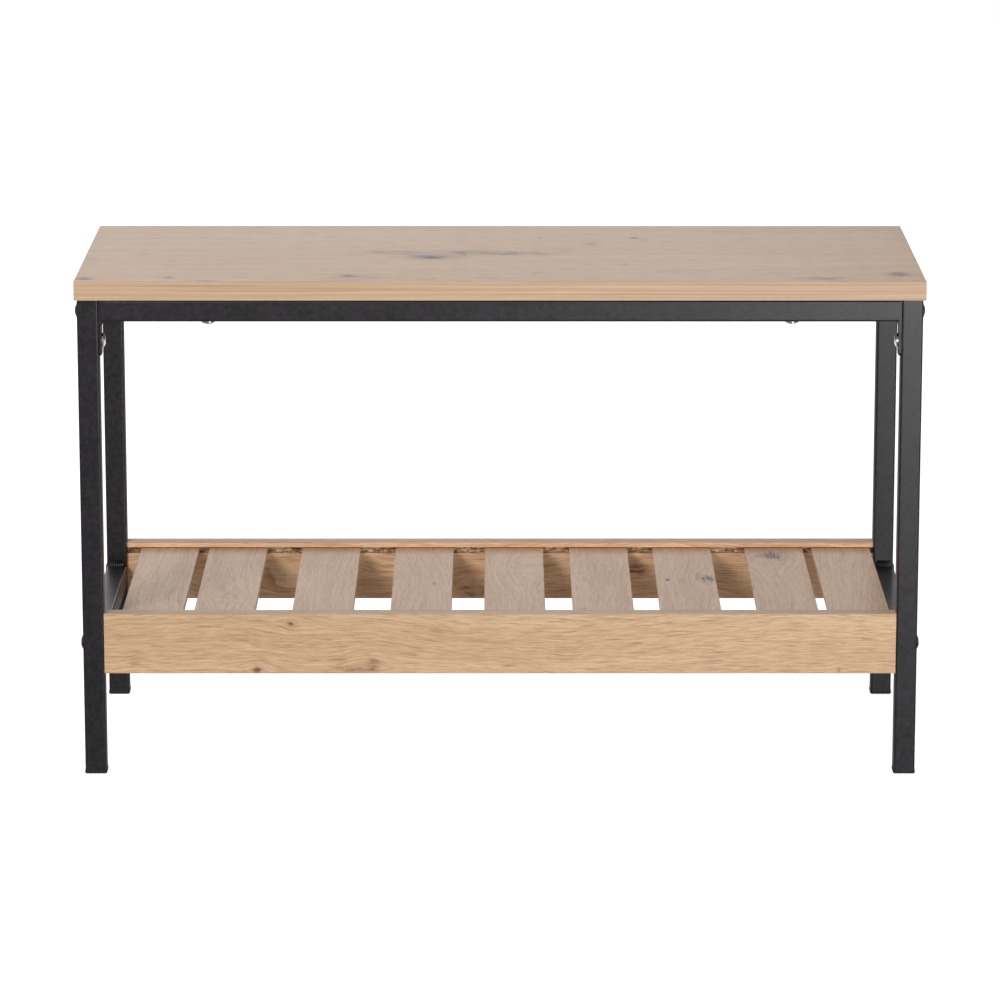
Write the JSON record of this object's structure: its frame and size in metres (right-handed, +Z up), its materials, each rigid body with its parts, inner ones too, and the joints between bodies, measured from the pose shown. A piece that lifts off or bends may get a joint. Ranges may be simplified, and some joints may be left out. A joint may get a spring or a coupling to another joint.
{
  "type": "entryway bench",
  "caption": "Low entryway bench with a board seat on a black square-tube frame and a shoe shelf of loose wooden slats held in grooved front and back boards.",
  "frame": {"origin": "on the floor, under the middle of the bench", "axes": "+X runs along the bench to the right as seen from the front, -Y is the front, +Z is up"},
  "size_m": [0.79, 0.31, 0.473],
  "materials": {
    "seat_decor": "satin wood decor on particle board, greyish oak with long knots",
    "board_edge": "satin oak edge banding with straight grain",
    "shelf_decor": "satin oak decor with lengthwise grain, raw particle board in the groove",
    "slat_decor": "satin oak decor with grain along the slat and small knots",
    "black_steel": "satin black powder coat",
    "black_bolt": "semi-gloss black",
    "bright_bolt": "bright nickel",
    "zinc_nut": "zinc plated",
    "black_plastic": "matt moulded plastic"
  },
  "bodies": {
    "bench_frame": {"seat_board": "seat_decor", "seat_edge_front": "board_edge", "seat_edge_rear": "board_edge", "seat_edge_left": "board_edge", "seat_edge_right": "board_edge", "leg_front_left": "black_steel", "leg_front_right": "black_steel", "leg_rear_left": "black_steel", "leg_rear_right": "black_steel", "foot_cap_front_left": "black_plastic", "foot_cap_front_right": "black_plastic", "foot_cap_rear_left": "black_plastic", "foot_cap_rear_right": "black_plastic", "side_rail_left": "black_steel", "side_rail_right": "black_steel", "side_stretcher_left": "black_steel", "side_stretcher_right": "black_steel", "top_rail_front": "black_steel", "top_rail_rear": "black_steel", "end_plate_front_left": "black_steel", "end_plate_front_right": "black_steel", "end_plate_rear_left": "black_steel", "end_plate_rear_right": "black_steel", "stretcher_welds": "black_steel", "end_plate_welds": "black_steel", "shelf_board_front": "shelf_decor", "shelf_board_rear": "shelf_decor", "shelf_edges_front": "board_edge", "shelf_edges_rear": "board_edge", "rail_bolts": "black_bolt", "rail_end_nuts": "zinc_nut", "tab_bolts": "bright_bolt", "leg_nuts": "zinc_nut", "shelf_bolts": "black_bolt", "shelf_inserts": "zinc_nut", "seat_screws": "bright_bolt", "seat_inserts": "zinc_nut"},
    "shelf_slat_1": {"slat_1": "slat_decor"},
    "shelf_slat_2": {"slat_2": "slat_decor"},
    "shelf_slat_3": {"slat_3": "slat_decor"},
    "shelf_slat_4": {"slat_4": "slat_decor"},
    "shelf_slat_5": {"slat_5": "slat_decor"},
    "shelf_slat_6": {"slat_6": "slat_decor"},
    "shelf_slat_7": {"slat_7": "slat_decor"},
    "shelf_slat_8": {"slat_8": "slat_decor"},
    "shelf_slat_9": {"slat_9": "slat_decor"}
  },
  "joints": [
    {"name": "slat_1_slide", "type": "slide", "parent": "bench_frame", "child": "shelf_slat_1", "axis": [1, 0, 0], "range_m": [-0.014, 0.0095]},
    {"name": "slat_2_slide", "type": "slide", "parent": "bench_frame", "child": "shelf_slat_2", "axis": [1, 0, 0], "range_m": [-0.0095, 0.0345]},
    {"name": "slat_3_slide", "type": "slide", "parent": "bench_frame", "child": "shelf_slat_3", "axis": [1, 0, 0], "range_m": [-0.0345, 0.0345]},
    {"name": "slat_4_slide", "type": "slide", "parent": "bench_frame", "child": "shelf_slat_4", "axis": [1, 0, 0], "range_m": [-0.0345, 0.0305]},
    {"name": "slat_5_slide", "type": "slide", "parent": "bench_frame", "child": "shelf_slat_5", "axis": [1, 0, 0], "range_m": [-0.0305, 0.0255]},
    {"name": "slat_6_slide", "type": "slide", "parent": "bench_frame", "child": "shelf_slat_6", "axis": [1, 0, 0], "range_m": [-0.0255, 0.0245]},
    {"name": "slat_7_slide", "type": "slide", "parent": "bench_frame", "child": "shelf_slat_7", "axis": [1, 0, 0], "range_m": [-0.0245, 0.0335]},
    {"name": "slat_8_slide", "type": "slide", "parent": "bench_frame", "child": "shelf_slat_8", "axis": [1, 0, 0], "range_m": [-0.0335, 0.0085]},
    {"name": "slat_9_slide", "type": "slide", "parent": "bench_frame", "child": "shelf_slat_9", "axis": [1, 0, 0], "range_m": [-0.0085, 0.003]}
  ]
}
